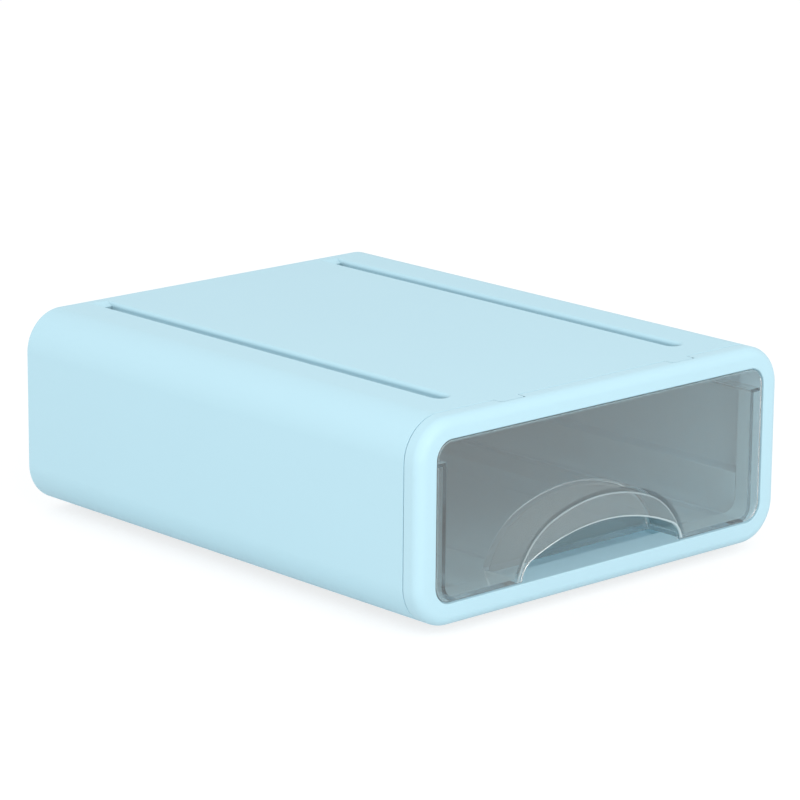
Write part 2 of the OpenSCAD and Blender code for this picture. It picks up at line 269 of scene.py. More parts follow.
def quarter(r, steps=EDGE_STEPS):
    """(inset, advance) along a quarter round, from a face to the side next to it."""
    turns = [math.pi / 2 * k / steps for k in range(steps + 1)]
    return [(r - r * math.sin(t), r - r * math.cos(t)) for t in turns]


# ---------------------------------------------------------------- meshes

# Points closer than this are one
MERGE_DISTANCE = 0.002 * MM
# Faces that meet at a larger angle, in degrees, meet in a hard edge
SHARP_ANGLE = 35
# Above 50, large faces count for more in the normals
NORMAL_WEIGHT = 80


def upright(points, y, x=0.0, z=0.0):
    """An outline drawn in x and z, stood up at a depth y."""
    return [(x + u, y, z + v) for u, v in points]


def level(points, z, x=0.0):
    """An outline drawn in x and y, laid flat at a height z."""
    return [(x + u, v, z) for u, v in points]


def loft(name, loops, closed=False):
    """A solid through loops with the same number of points: capped, or closed into a ring."""
    bm = bmesh.new()
    rows = [[bm.verts.new(p) for p in loop] for loop in loops]
    pairs = list(zip(rows, rows[1:]))
    if closed:
        pairs.append((rows[-1], rows[0]))
    else:
        bm.faces.new(rows[0])
        bm.faces.new(rows[-1])
    count = len(rows[0])
    for a, b in pairs:
        for i in range(count):
            j = (i + 1) % count
            bm.faces.new((a[i], a[j], b[j], b[i]))
    bmesh.ops.recalc_face_normals(bm, faces=bm.faces)
    mesh = bpy.data.meshes.new(name)
    bm.to_mesh(mesh)
    bm.free()
    obj = bpy.data.objects.new(name, mesh)
    bpy.context.scene.collection.objects.link(obj)
    return obj


def block(name, low, high):
    """A box between its lowest and its highest corner."""
    (x0, y0, z0), (x1, y1, z1) = low, high
    outline = [(x0, y0), (x1, y0), (x1, y1), (x0, y1)]
    return loft(name, [level(outline, z0), level(outline, z1)])


def apply_modifiers(obj):
    """Puts what an object's modifiers make of its mesh in the mesh's place."""
    bpy.context.view_layer.update()
    depsgraph = bpy.context.evaluated_depsgraph_get()
    mesh = bpy.data.meshes.new_from_object(obj.evaluated_get(depsgraph))
    obj.modifiers.clear()
    old, obj.data = obj.data, mesh
    mesh.name = obj.name
    bpy.data.meshes.remove(old)


def combine(target, operation, *others):
    """Boolean of solids; the others are used up."""
    for other in others:
        mod = target.modifiers.new("boolean", "BOOLEAN")
        mod.operation = operation
        mod.object = other
        mod.solver = "MANIFOLD"
        apply_modifiers(target)
        bpy.data.objects.remove(other)
    return target


def mirrored(make):
    """What make(side) builds, on the left and on the right of the box."""
    return [make(side) for side in (-1, 1)]


def finish_surface(obj):
    """Smooth shading that keeps flat faces flat and hard edges hard."""
    bm = bmesh.new()
    bm.from_mesh(obj.data)
    bmesh.ops.remove_doubles(bm, verts=bm.verts, dist=MERGE_DISTANCE)
    bmesh.ops.dissolve_degenerate(bm, edges=bm.edges, dist=MERGE_DISTANCE)
    bm.to_mesh(obj.data)
    bm.free()
    obj.data.shade_smooth()
    obj.data.set_sharp_from_angle(angle=math.radians(SHARP_ANGLE))
    mod = obj.modifiers.new("normals", "WEIGHTED_NORMAL")
    mod.keep_sharp = True
    mod.weight = NORMAL_WEIGHT
    apply_modifiers(obj)
    return obj


# ---------------------------------------------------------------- shell


def groove_levels():
    """(half width, height above the bottom) up a groove's wall and out over its round lip."""
    levels = [(GROOVE_W / 2 - i, a) for i, a in quarter(GROOVE_R)]
    start = GROOVE_DEPTH + LIP_RISE - GROOVE_LIP_R
    for i, a in quarter(GROOVE_LIP_R, LIP_STEPS):
        levels.append((GROOVE_W / 2 + a, start + GROOVE_LIP_R - i))
    return levels + [(GROOVE_W / 2 + GROOVE_LIP_R, GROOVE_DEPTH + OVER)]


def groove_cutter(side):
    """What a stacking groove takes out of the top."""
    loops = []
    for half, up in groove_levels():
        outline = nosed_outline(2 * half, GROOVE_FRONT_Y + GROOVE_W / 2 - half, GROOVE_BACK_Y)
        loops.append(level(outline, TOP_Z - GROOVE_DEPTH + up, side * GROOVE_X))
    return loft("groove", loops)


def groove_trough(side):
    """The wall that holds a groove, inside the top."""
    w, depth = GROOVE_W + 2 * SHELL_WALL, GROOVE_DEPTH + SHELL_WALL
    front, back = GROOVE_FRONT_Y - SHELL_WALL, GROOVE_BACK_Y + SHELL_WALL
    loops = []
    for inset, up in quarter(GROOVE_R + SHELL_WALL):
        outline = nosed_outline(w - 2 * inset, front + inset, back)
        loops.append(level(outline, TOP_Z - depth + up, side * GROOVE_X))
    outline = nosed_outline(w, front, back)
    loops.append(level(outline, TOP_Z - SHELL_WALL / 2, side * GROOVE_X))
    return loft("trough", loops)


def lead_cutter(side):
    """The ramp behind a groove, between the same lips."""
    levels = groove_levels()
    outline = [(-half, up) for half, up in levels] + [(half, up) for half, up in reversed(levels)]
    bottom = TOP_Z - GROOVE_DEPTH
    depths = (GROOVE_BACK_Y - OVER, BACK_Y)
    bar = loft("lead", [upright(outline, y, side * GROOVE_X, bottom) for y in depths])
    ramp = [
        (GROOVE_BACK_Y - 2 * OVER, TOP_Z - LEAD_DEPTH),
        (GROOVE_BACK_Y, TOP_Z - LEAD_DEPTH),
        (GROOVE_BACK_Y + LEAD_L, TOP_Z),
        (GROOVE_BACK_Y + LEAD_L, TOP_Z + 2 * OVER),
        (GROOVE_BACK_Y - 2 * OVER, TOP_Z + 2 * OVER),
    ]
    ends = [side * GROOVE_X + end * GROOVE_W for end in (-1, 1)]
    return combine(bar, "INTERSECT", loft("ramp", [[(x, y, z) for y, z in ramp] for x in ends]))


def stacking_rib(side):
    """A rib under the floor, which fits a groove with a gap all round."""
    front, back = GROOVE_FRONT_Y + STACK_GAP, GROOVE_BACK_Y - STACK_GAP
    loops = []
    for inset, up in quarter(RIB_R):
        outline = nosed_outline(RIB_W - 2 * inset, front + inset, back - inset)
        loops.append(level(outline, RIB_Z + up, side * GROOVE_X))
    loops.append([(x, y, UNDER_Z + OVER) for x, y, _ in loops[-1]])
    return loft("rib", loops)


def foot_outline(y, grow):
    """A foot seen from above, with round ends, centred on (0, y) and grown by a margin."""
    width = foot_hi.x - foot_lo.x
    r = width / 2 + grow
    end = (foot_hi.y - foot_lo.y - width) / 2
    return arc(0, y + end, r, 0, 180, CORNER_STEPS) + arc(0, y - end, r, 180, 360, CORNER_STEPS)


def foot_seat(side, lo, hi):
    """The hollow in a rib for the foot between two corners."""
    outline = foot_outline((lo.y + hi.y) / 2, FOOT_GAP)
    return loft("seat", [level(outline, z, side * GROOVE_X) for z in (RIB_Z - OVER, hi.z)])


def void_section():
    """The shell's inside from the runners back: floor rails and side guides stand into it."""
    cx = CAVITY_W / 2 - CAVITY_R
    low, high = FLOOR_Z + CAVITY_R, FLOOR_Z + CAVITY_H - CAVITY_R
    guide_x = OPENING_W / 2
    rail_in, rail_out = GROOVE_X - RAIL_W / 2, GROOVE_X + RAIL_W / 2
    guide_z = UNDER_Z + GUIDE_H
    cut = -math.degrees(math.acos((guide_x - cx) / CAVITY_R))
    half = [
        (rail_in, FLOOR_Z, RUNNER_EDGE_R),
        (rail_in, OPENING_FLOOR_Z, RUNNER_EDGE_R),
        (rail_out, OPENING_FLOOR_Z, RUNNER_EDGE_R),
        (rail_out, FLOOR_Z, RUNNER_EDGE_R),
    ]
    half += [(x, z, 0) for x, z in arc(cx, low, CAVITY_R, -90, cut, CORNER_STEPS)]
    half += [
        (guide_x, guide_z, GUIDE_EDGE_R),
        (CAVITY_W / 2, guide_z, GUIDE_EDGE_R),
    ]
    half += [(x, z, 0) for x, z in arc(cx, high, CAVITY_R, 0, 90, CORNER_STEPS)]
    return rounded_path(half + [(-x, z, r) for x, z, r in reversed(half)])


def runner_hollows(side):
    """The cores of a side guide and a floor rail, open at their front ends."""
    rail = GROOVE_X - RAIL_W / 2 + RUNNER_WALL, GROOVE_X + RAIL_W / 2 - RUNNER_WALL
    guide = OPENING_W / 2 + RUNNER_WALL, CAVITY_W / 2
    cx, low = CAVITY_W / 2 - CAVITY_R, FLOOR_Z + CAVITY_R
    cut = -math.degrees(math.acos((guide[0] - cx) / CAVITY_R))
    guide_section = arc(cx, low, CAVITY_R, cut, 0, CORNER_STEPS)
    guide_section += [(x, UNDER_Z + GUIDE_H - RUNNER_WALL) for x in reversed(guide)]
    rail_section = [
        (rail[0], FLOOR_Z),
        (rail[1], FLOOR_Z),
        (rail[1], OPENING_FLOOR_Z - RUNNER_WALL),
        (rail[0], OPENING_FLOOR_Z - RUNNER_WALL),
    ]
    hollows = []
    for section in (guide_section, rail_section):
        outline = [(side * x, z) for x, z in section]
        depths = (RUNNER_FRONT_Y - OVER, CAVITY_BACK_Y)
        hollows.append(loft("hollow", [upright(outline, y) for y in depths]))
    return hollows


def tongue(side):
    """The shell's tongue in the frame, with slanted corners at its tip."""
    half = TAB_W / 2
    outline = [
        (-half, SHELL_FRONT_Y + 2 * OVER),
        (-half, TAB_TIP_Y + TAB_CORNER),
        (TAB_CORNER - half, TAB_TIP_Y),
        (half - TAB_CORNER, TAB_TIP_Y),
        (half, TAB_TIP_Y + TAB_CORNER),
        (half, SHELL_FRONT_Y + 2 * OVER),
    ]
    return loft("tongue", [level(outline, z, side * TAB_X) for z in (TOP_Z - SHELL_WALL, TOP_Z)])


def make_shell():
    def row(inset, y):
        return upright(body_outline(inset), y, z=MID_Z)

    loops = [row(i, SHELL_FRONT_Y + a) for i, a in quarter(SEAM_EDGE_R, TINY_EDGE_STEPS)]
    loops += [row(i, BACK_Y - a) for i, a in reversed(quarter(BACK_EDGE_R))]
    shell = loft("shell_body", loops)
    cavity = rounded_rect(CAVITY_W, CAVITY_H, CAVITY_R)
    mouth = [upright(cavity, y, z=MID_Z) for y in (SHELL_FRONT_Y - OVER, RUNNER_FRONT_Y)]
    inside = [upright(void_section(), y) for y in (RUNNER_FRONT_Y - OVER, CAVITY_BACK_Y)]
    combine(shell, "DIFFERENCE", loft("mouth", mouth), loft("inside", inside))
    combine(shell, "UNION", *mirrored(groove_trough), *mirrored(stacking_rib), *mirrored(tongue))
    combine(shell, "DIFFERENCE", *mirrored(groove_cutter), *mirrored(lead_cutter))
    for side in (-1, 1):
        combine(shell, "DIFFERENCE", *runner_hollows(side))
        seats = foot_seat(side, foot_lo, foot_hi), foot_seat(side, back_foot_lo, back_foot_hi)
        combine(shell, "DIFFERENCE", *seats)
    return finish_surface(shell)


# ---------------------------------------------------------------- front frame


def make_front_frame():
    def outer(inset, y):
        return upright(body_outline(inset), y, z=MID_Z)

    def opening(grow, y):
        w, h = OPENING_W + 2 * grow, OPENING_H + 2 * grow
        return upright(rounded_rect(w, h, OPENING_R + grow), y, z=OPENING_MID_Z)

    rim = SHELL_WALL + FRAME_GAP
    rim_inside = rim + RIM_WALL
    rim_back = SEAM_Y + RIM_D
    face_back = FACE_Y + FACE_T
    sleeve_end = quarter(SLEEVE_END_R, SMALL_EDGE_STEPS)
    loops = [outer(i, FACE_Y + a) for i, a in quarter(FRAME_EDGE_R, FACE_EDGE_STEPS)]
    loops += [outer(i, SEAM_Y - a) for i, a in reversed(quarter(SEAM_EDGE_R, TINY_EDGE_STEPS))]
    loops += [outer(rim, SEAM_Y), outer(rim, rim_back)]
    loops += [outer(rim_inside, rim_back), outer(rim_inside, face_back)]
    loops += [opening(SLEEVE_WALL, face_back)]
    loops += [opening(SLEEVE_WALL - i, SLEEVE_BACK_Y - a) for i, a in reversed(sleeve_end)]
    loops += [opening(i, SLEEVE_BACK_Y - a) for i, a in sleeve_end]
    loops += [opening(i, FACE_Y + a) for i, a in reversed(quarter(OPENING_EDGE_R))]
    ring = loft("front_ring", loops, closed=True)

    def notch(side):
        """The room for a tongue, wider and longer than it by the seam's gap."""
        half = TAB_W / 2 + SEAM_GAP
        x = side * TAB_X
        low = (x - half, TAB_TIP_Y - SEAM_GAP, TOP_Z - rim)
        high = (x + half, SEAM_Y + OVER, TOP_Z + OVER)
        return block("notch", low, high)

    combine(ring, "DIFFERENCE", *mirrored(notch))
    return finish_surface(ring)


# ---------------------------------------------------------------- drawer

# Places in the drawer's list of materials. Place 0 is the plain clear plastic; places 1 to 3
# carry painted highlights on round edges, from bright to faint, and place 4 is the thin wall.
BRIGHT_HIGHLIGHT, SOFT_HIGHLIGHT, FAINT_HIGHLIGHT, THIN = 1, 2, 3, 4
# Room that a face's middle gets when it is matched to a zone
ZONE_MARGIN = 0.01 * MM
# Keeps a side without length from dividing by zero, in square metres
LEAST_SQUARE = 1e-12


def tray_plan(grow, back, r):
    """The tray's rim seen from above, with its front end inside the drawer's front."""
    x = TRAY_W / 2 + grow
    y = TRAY_BACK_Y + back
    front = TRAY_Y - TRAY_ROOT
    steps = CORNER_STEPS // 2
    corners = arc(x - r, y - r, r, 0, 90, steps) + arc(r - x, y - r, r, 90, 180, steps)
    return [(-x, front), (x, front)] + corners


def make_plate():
    """The drawer's front plate, before the arch is cut."""
    def row(inset, y):
        outline = rounded_rect(DRAWER_W - 2 * inset, DRAWER_H - 2 * inset, DRAWER_R - inset)
        return upright(outline, y, z=OPENING_MID_Z)

    back_edge = quarter(FRONT_BACK_EDGE_R, TINY_EDGE_STEPS)
    rows = [row(i, DRAWER_Y + a) for i, a in quarter(FRONT_EDGE_R)]
    rows += [row(i, TRAY_Y - a) for i, a in reversed(back_edge)]
    return loft("drawer_body", rows)


def make_tray(shrink, top, end_r):
    """The tray filled in, or its inside when it is shrunk by a wall."""
    w, r, back = TRAY_W - 2 * shrink, TRAY_R - shrink, TRAY_BACK_Y - shrink
    z = DRAWER_FLOOR_Z + shrink
    front = TRAY_Y - (TRAY_ROOT if shrink == 0 else 0)

    def row(inset, y):
        return upright(u_section(w, top - z, r, inset), y, z=z)

    return loft("tray", [row(0, front)] + [row(i, back - a) for i, a in reversed(quarter(end_r))])


def make_lip():
    """The lip round the tray's rim."""
    side = TRAY_INSET - LIP_INSET

    def row(inset, up):
        plan = tray_plan(side - inset, LIP_BACK - inset, TRAY_BACK_R + LIP_BACK - inset)
        return level(plan, TRAY_TOP_Z - LIP_T + up)

    edge = quarter(LIP_EDGE_R, SMALL_EDGE_STEPS)
    rows = [row(i, a) for i, a in edge]
    rows += [row(i, LIP_T - a) for i, a in reversed(edge)]
    return loft("lip", rows)


def make_recess(grow, start, end, start_r, end_r, foot):
    """The finger recess, or the hump round it when it is grown by a wall."""
    def row(inset, y):
        return upright(arch_section(grow=grow - inset, foot=foot, **PULL), y, z=DRAWER_FLOOR_Z)

    rows = [row(i, start + a) for i, a in quarter(start_r)] if start_r else [row(0, start)]
    rows += [row(i, end - a) for i, a in reversed(quarter(end_r))]
    return loft("recess", rows)


def make_arch():
    """The arch that is cut in the front plate, with its round edges."""
    def row(grow, y):
        return upright(arch_section(grow=grow, foot=-2 * OVER, **ARCH), y, z=DRAWER_FLOOR_Z)

    back_edge = quarter(ARCH_BACK_R, SMALL_EDGE_STEPS)
    rows = [row(ARCH_FRONT_R, DRAWER_Y - OVER)]
    rows += [row(i, DRAWER_Y + a) for i, a in quarter(ARCH_FRONT_R)]
    rows += [row(i, TRAY_Y - a) for i, a in reversed(back_edge)]
    rows += [row(ARCH_BACK_R, TRAY_Y + OVER)]
    return loft("arch", rows)


def make_drawer():
    drawer = make_plate()
    lip = make_lip()
    inside = make_tray(TRAY_WALL, DRAWER_FLOOR_Z + DRAWER_H, TRAY_BACK_R - TRAY_WALL)
    hump_end = TRAY_Y + PULL_D + TRAY_WALL
    hump = make_recess(TRAY_WALL, TRAY_Y - OVER, hump_end, 0, HUMP_END_R, 0.0)
    combine(inside, "DIFFERENCE", hump)
    combine(drawer, "UNION", make_tray(0, TRAY_TOP_Z, TRAY_BACK_R), lip)
    combine(drawer, "DIFFERENCE", inside)
    recess = make_recess(0, TRAY_Y, TRAY_Y + PULL_D, PULL_FRONT_R, PULL_END_R, -OVER)
    combine(drawer, "DIFFERENCE", recess)
    combine(drawer, "DIFFERENCE", make_arch())
    return finish_surface(drawer)


def outline_distance(point, outline):
    """How far a point is from a closed outline."""
    gaps = []
    for start, end in zip(outline, outline[1:] + outline[:1]):
        start, along = Vector(start), Vector(end) - Vector(start)
        share = (point - start).dot(along) / max(along.length_squared, LEAST_SQUARE)
        gaps.append((start + along * min(max(share, 0), 1) - point).length)
    return min(gaps)


def place_drawer_materials(drawer):
    """Gives the drawer's round edges materials with painted highlights, and the thin wall of its
    recess a material of its own.

    A zone is (material, outline, lowest y, highest y, reach from the outline).
    """
    arch, pull = arch_section(**ARCH), arch_section(**PULL)
    hump = arch_section(grow=TRAY_WALL, **PULL)
    front = rounded_rect(DRAWER_W, DRAWER_H, DRAWER_R)
    front = [(x, z + OPENING_MID_Z - DRAWER_FLOOR_Z) for x, z in front]
    end_y = TRAY_Y + PULL_D
    hump_y = end_y + TRAY_WALL
    zones = [
        # The bright, soft and faint zones carry painted highlights on round edges.
        (BRIGHT_HIGHLIGHT, arch, DRAWER_Y, DRAWER_Y + ARCH_FRONT_R, ARCH_FRONT_R),
        (FAINT_HIGHLIGHT, arch, TRAY_Y - ARCH_BACK_R, TRAY_Y, ARCH_BACK_R),
        (SOFT_HIGHLIGHT, pull, TRAY_Y, TRAY_Y + PULL_FRONT_R, PULL_FRONT_R),
        (THIN, pull, TRAY_Y + PULL_FRONT_R, end_y - PULL_END_R, 0),
        (FAINT_HIGHLIGHT, pull, end_y - PULL_END_R, end_y, PULL_END_R),
        (THIN, hump, TRAY_Y, hump_y - HUMP_END_R, 0),
        (FAINT_HIGHLIGHT, front, DRAWER_Y, DRAWER_Y + FRONT_EDGE_R, FRONT_EDGE_R),
        (FAINT_HIGHLIGHT, front, TRAY_Y - FRONT_BACK_EDGE_R, TRAY_Y, FRONT_BACK_EDGE_R),
    ]
    for face in drawer.data.polygons:
        if min(abs(face.center.y - end_y), abs(face.center.y - hump_y)) < ZONE_MARGIN:
            face.material_index = THIN
            continue
        for index, outline, low, high, reach in zones:
            if not low + ZONE_MARGIN < face.center.y < high - ZONE_MARGIN:
                continue
            here = Vector((face.center.x, face.center.z - DRAWER_FLOOR_Z))
            if outline_distance(here, outline) < reach + ZONE_MARGIN:
                face.material_index = index


# ---------------------------------------------------------------- feet


def make_foot(name, side):
    lo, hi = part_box(name)
    y = (lo.y + hi.y) / 2
    edge = quarter(FOOT_EDGE_R, SMALL_EDGE_STEPS)
    rows = [level(foot_outline(y, -i), lo.z + a, side * GROOVE_X) for i, a in edge]
    rows += [level(foot_outline(y, 0), hi.z, side * GROOVE_X)]
    return finish_surface(loft(name + "_pad", rows))


# ---------------------------------------------------------------- materials

WHITE = (1, 1, 1, 1)

# Scales of noise are in cycles per metre.
PLAIN_DETAIL = 2
GRAIN_DETAIL = 3
FINE_DETAIL = 4

# The light-blue plastic. Painted shade darkens its deepest corners: the depth below is the share
# of the colour that they keep.
SHELL_COLOUR = (0.505, 0.757, 0.858)
# The frame's colour is a little darker than the shell's: painted shade that holds back its
# brightly lit face.
FRAME_COLOUR_PAINTED_DARKER = (0.505, 0.75, 0.848)
SHELL_ROUGHNESS = 0.55
FRAME_ROUGHNESS = 0.50
ROUGHNESS_SPREAD = 0.03
PLASTIC_IOR = 1.46
PLASTIC_SPECULAR = 0.35
FLOW_SCALE = 14
FLOW_SHADE = 0.985
SATIN_SCALE = 160
# Painted shade: ambient occlusion within this reach darkens the colour down to this share.
PAINTED_SHADE_DEPTH = 0.25
PAINTED_SHADE_REACH = 8 * MM
PAINTED_SHADE_SAMPLES = 8

# The smoky clear plastic. Shares of smoke are the grey haze that its surfaces scatter; the edge
# shares are painted highlights, a pale scatter on round edges that stands in for the light they
# catch.
SMOKY_TINT = (0.75, 0.81, 0.81)
WALL_TINT = (0.71, 0.765, 0.77)
SMOKE_COLOUR = (0.46, 0.50, 0.51)
# The colour of the painted highlights on round edges.
PAINTED_HIGHLIGHT_COLOUR = (0.80, 0.94, 0.97)
SMOKE_SHARE = 0.05
# Shares of painted highlight on the drawer's round edges, from bright to faint.
BRIGHT_PAINTED_HIGHLIGHT = 0.5
SOFT_PAINTED_HIGHLIGHT = 0.32
FAINT_PAINTED_HIGHLIGHT = 0.08
CLEAR_IOR = 1.5
CLEAR_SPECULAR = 0.3
CLEAR_SHARE = 0.97
THIN_IOR = 1.0
THIN_GLOSS = 0.3
CLOUD_SCALE = 9
CLOUD_SHADE = 1.02
RUB_SCALE = 60
RUB_ROUGHNESS = 0.02
ONE_REFLECTION = 1.5

# The feet's rubber
RUBBER_COLOUR = (0.035, 0.037, 0.04)
RUBBER_ROUGHNESS = (0.7, 0.9)
RUBBER_SCALE = 700
DUST_SCALE = 120
DUST_SHADE = 1.5
GRAIN_SCALE = 1500
GRAIN_DEPTH = 0.05 * MM
GRAIN_STRENGTH = 0.15


def new_material(name):
    mat = bpy.data.materials.new(name)
    mat.use_nodes = True
    nodes, links = mat.node_tree.nodes, mat.node_tree.links
    nodes.clear()
    out = nodes.new("ShaderNodeOutputMaterial")
    shader = nodes.new("ShaderNodeBsdfPrincipled")
    links.new(shader.outputs["BSDF"], out.inputs["Surface"])
    return mat, nodes, links, shader, out


def feed(links, source, socket):
    """Puts a plain number, or what comes out of another socket, into a socket."""
    if isinstance(source, (int, float)):
        socket.default_value = source
    else:
        links.new(source, socket)


def maths(nodes, links, operation, first, second):
    node = nodes.new("ShaderNodeMath")
    node.operation = operation
    feed(links, first, node.inputs[0])
    feed(links, second, node.inputs[1])
    return node.outputs["Value"]


def mixed(nodes, links, share, first, second):
    """Two shaders mixed; share is the second one's."""
    mix = nodes.new("ShaderNodeMixShader")
    feed(links, share, mix.inputs["Fac"])
    links.new(first, mix.inputs[1])
    links.new(second, mix.inputs[2])
    return mix.outputs["Shader"]


def diffuse(nodes, colour):
    node = nodes.new("ShaderNodeBsdfDiffuse")
    node.inputs["Color"].default_value = (*colour, 1)
    return node.outputs["BSDF"]


def noise(nodes, links, scale, detail=PLAIN_DETAIL):
    """Noise in object space, from 0 to 1."""
    coords = nodes.new("ShaderNodeTexCoord")
    tex = nodes.new("ShaderNodeTexNoise")
    tex.inputs["Scale"].default_value = scale
    tex.inputs["Detail"].default_value = detail
    links.new(coords.outputs["Object"], tex.inputs["Vector"])
    return tex.outputs["Fac"]


def ranged(nodes, links, source, low, high):
    """source, which runs from 0 to 1, spread from low to high."""
    node = nodes.new("ShaderNodeMapRange")
    node.inputs["To Min"].default_value = low
    node.inputs["To Max"].default_value = high
    links.new(source, node.inputs["Value"])
    return node.outputs["Result"]


def two_tone(nodes, links, source, first, second):
    """The first colour where source is 0, the second where it is 1."""
    mix = nodes.new("ShaderNodeMix")
    mix.data_type = "RGBA"
    mix.inputs["A"].default_value = (*first, 1)
    mix.inputs["B"].default_value = (*second, 1)
    links.new(source, mix.inputs["Factor"])
    return mix.outputs["Result"]


def painted_shade_mask(nodes, links):
    """1 where shade is painted: as deep as the grooves reach and from just behind the seam
    forwards; 0 elsewhere.
    """
    coords = nodes.new("ShaderNodeTexCoord")
    axes = nodes.new("ShaderNodeSeparateXYZ")
    links.new(coords.outputs["Object"], axes.inputs["Vector"])
    groove_z, seam_y = TOP_Z - GROOVE_DEPTH - OVER, SHELL_FRONT_Y + SHELL_WALL
    above = maths(nodes, links, "GREATER_THAN", axes.outputs["Z"], groove_z)
    ahead = maths(nodes, links, "LESS_THAN", axes.outputs["Y"], seam_y)
    return maths(nodes, links, "MAXIMUM", above, ahead)


def painted_corner_shade(nodes, links, colour):
    """The colour with painted shade: ambient occlusion makes it deeper in the grooves and in the
    seam.
    """
    # Painted shade: ambient occlusion multiplied into the colour.
    occlusion_shade = nodes.new("ShaderNodeAmbientOcclusion")
    occlusion_shade.samples = PAINTED_SHADE_SAMPLES
    occlusion_shade.only_local = True
    occlusion_shade.inputs["Distance"].default_value = PAINTED_SHADE_REACH
    mix = nodes.new("ShaderNodeMix")
    mix.data_type = "RGBA"
    mix.blend_type = "MULTIPLY"
    links.new(painted_shade_mask(nodes, links), mix.inputs["Factor"])
    links.new(colour, mix.inputs["A"])
    links.new(ranged(nodes, links, occlusion_shade.outputs["AO"], PAINTED_SHADE_DEPTH, 1.0), mix.inputs["B"])
    return mix.outputs["Result"]


def grain(nodes, links, shader):
    """The fine texture that a spark-eroded mould leaves."""
    bump = nodes.new("ShaderNodeBump")
    bump.inputs["Strength"].default_value = GRAIN_STRENGTH
    bump.inputs["Distance"].default_value = GRAIN_DEPTH
    links.new(noise(nodes, links, GRAIN_SCALE, GRAIN_DETAIL), bump.inputs["Height"])
    links.new(bump.outputs["Normal"], shader.inputs["Normal"])


def moulded_plastic(name, colour, roughness):
    """Opaque plastic, even and satin, with painted shade in its grooves and at its seam."""
    mat, nodes, links, shader, _ = new_material(name)
    darker = tuple(c * FLOW_SHADE for c in colour)
    even = two_tone(nodes, links, noise(nodes, links, FLOW_SCALE), darker, colour)
    # The base colour carries painted shade from ambient occlusion.
    links.new(painted_corner_shade(nodes, links, even), shader.inputs["Base Color"])
    low, high = roughness - ROUGHNESS_SPREAD, roughness + ROUGHNESS_SPREAD
    satin = ranged(nodes, links, noise(nodes, links, SATIN_SCALE), low, high)
    links.new(satin, shader.inputs["Roughness"])
    shader.inputs["IOR"].default_value = PLASTIC_IOR
    shader.inputs["Specular IOR Level"].default_value = PLASTIC_SPECULAR
    return mat


def smoky_clear(name, tint, haze_and_highlight, haze_and_highlight_colour=PAINTED_HIGHLIGHT_COLOUR, ior=CLEAR_IOR, gloss=0.0):
    """Polished clear plastic with a grey tint.

    The scattered share and its colour give a grey haze on the plain plastic, and a pale painted
    highlight on round edges that stands in for the light they catch. With an ior of 1 it bends no
    light, and its shine comes from gloss. It is a plain window for lamp light, for light on its
    way to a dull surface, and for light that was reflected more than once.
    """
    mat, nodes, links, shader, out = new_material(name)
    paler = tuple(min(1, c * CLOUD_SHADE) for c in tint)
    cloudy = two_tone(nodes, links, noise(nodes, links, CLOUD_SCALE), tint, paler)
    links.new(cloudy, shader.inputs["Base Color"])
    rub = noise(nodes, links, RUB_SCALE, FINE_DETAIL)
    links.new(ranged(nodes, links, rub, 0.0, RUB_ROUGHNESS), shader.inputs["Roughness"])
    shader.inputs["IOR"].default_value = ior
    shader.inputs["Specular IOR Level"].default_value = CLEAR_SPECULAR
    shader.inputs["Coat Weight"].default_value = gloss
    shader.inputs["Coat IOR"].default_value = CLEAR_IOR
    shader.inputs["Transmission Weight"].default_value = CLEAR_SHARE
    path = nodes.new("ShaderNodeLightPath")
    caught = maths(nodes, links, "GREATER_THAN", path.outputs["Glossy Depth"], ONE_REFLECTION)
    soft = maths(nodes, links, "MAXIMUM", path.outputs["Is Diffuse Ray"], caught)
    straight = maths(nodes, links, "MAXIMUM", path.outputs["Is Shadow Ray"], soft)
    # Grey haze, and on round edges painted highlight: a diffuse scatter mixed in.
    haze_and_highlight_mix = mixed(nodes, links, haze_and_highlight, shader.outputs["BSDF"], diffuse(nodes, haze_and_highlight_colour))
    window = nodes.new("ShaderNodeBsdfTransparent")
    window.inputs["Color"].default_value = WHITE
    links.new(mixed(nodes, links, straight, haze_and_highlight_mix, window.outputs["BSDF"]), out.inputs["Surface"])
    return mat


def rubber(name, colour):
    """Dull black rubber with some dust."""
    mat, nodes, links, shader, _ = new_material(name)
    dust = noise(nodes, links, DUST_SCALE, FINE_DETAIL)
    paler = tuple(c * DUST_SHADE for c in colour)
    links.new(two_tone(nodes, links, dust, colour, paler), shader.inputs["Base Color"])
    dull = ranged(nodes, links, noise(nodes, links, RUBBER_SCALE), *RUBBER_ROUGHNESS)
    links.new(dull, shader.inputs["Roughness"])
    grain(nodes, links, shader)
    return mat


# ---------------------------------------------------------------- camera, lights and floor

# The camera stands 1.9 m from the middle of the box's face, to its left and a little above it,
# with a long lens. AIM_RIGHT and AIM_UP say how far right of the picture's middle, and how far
# above it, the middle of the face lies.
CAMERA_AZIMUTH = -42.830
CAMERA_ELEVATION = 14.486
CAMERA_ROLL = 0.516
CAMERA_DISTANCE = 1.8752
CAMERA_LENS = 172.63
SENSOR_WIDTH = 36
CLIP_START = 0.05
CLIP_END = 50
AIM_RIGHT = 0.10062
AIM_UP = -0.04092

KEY_LAMP = dict(direction=(-0.20, -0.87, 0.45), distance=2.5, size=2.0, power=26.5)
OVERHEAD_LAMP = dict(direction=(-0.87, 0, 0.49), distance=2.2, size=2.0, power=9.9)
WORLD_STRENGTH = 0.77
SEEN_STRENGTH = 1.0

# What the floor is lit by and what the camera sees of it: a glow, and a share of its shadows
FLOOR_REACH = 6.0
FLOOR_COLOUR = (0.82, 0.82, 0.82)
SHADOW_COLOUR = (0.3, 0.3, 0.3)
FLOOR_GLOW = 0.76


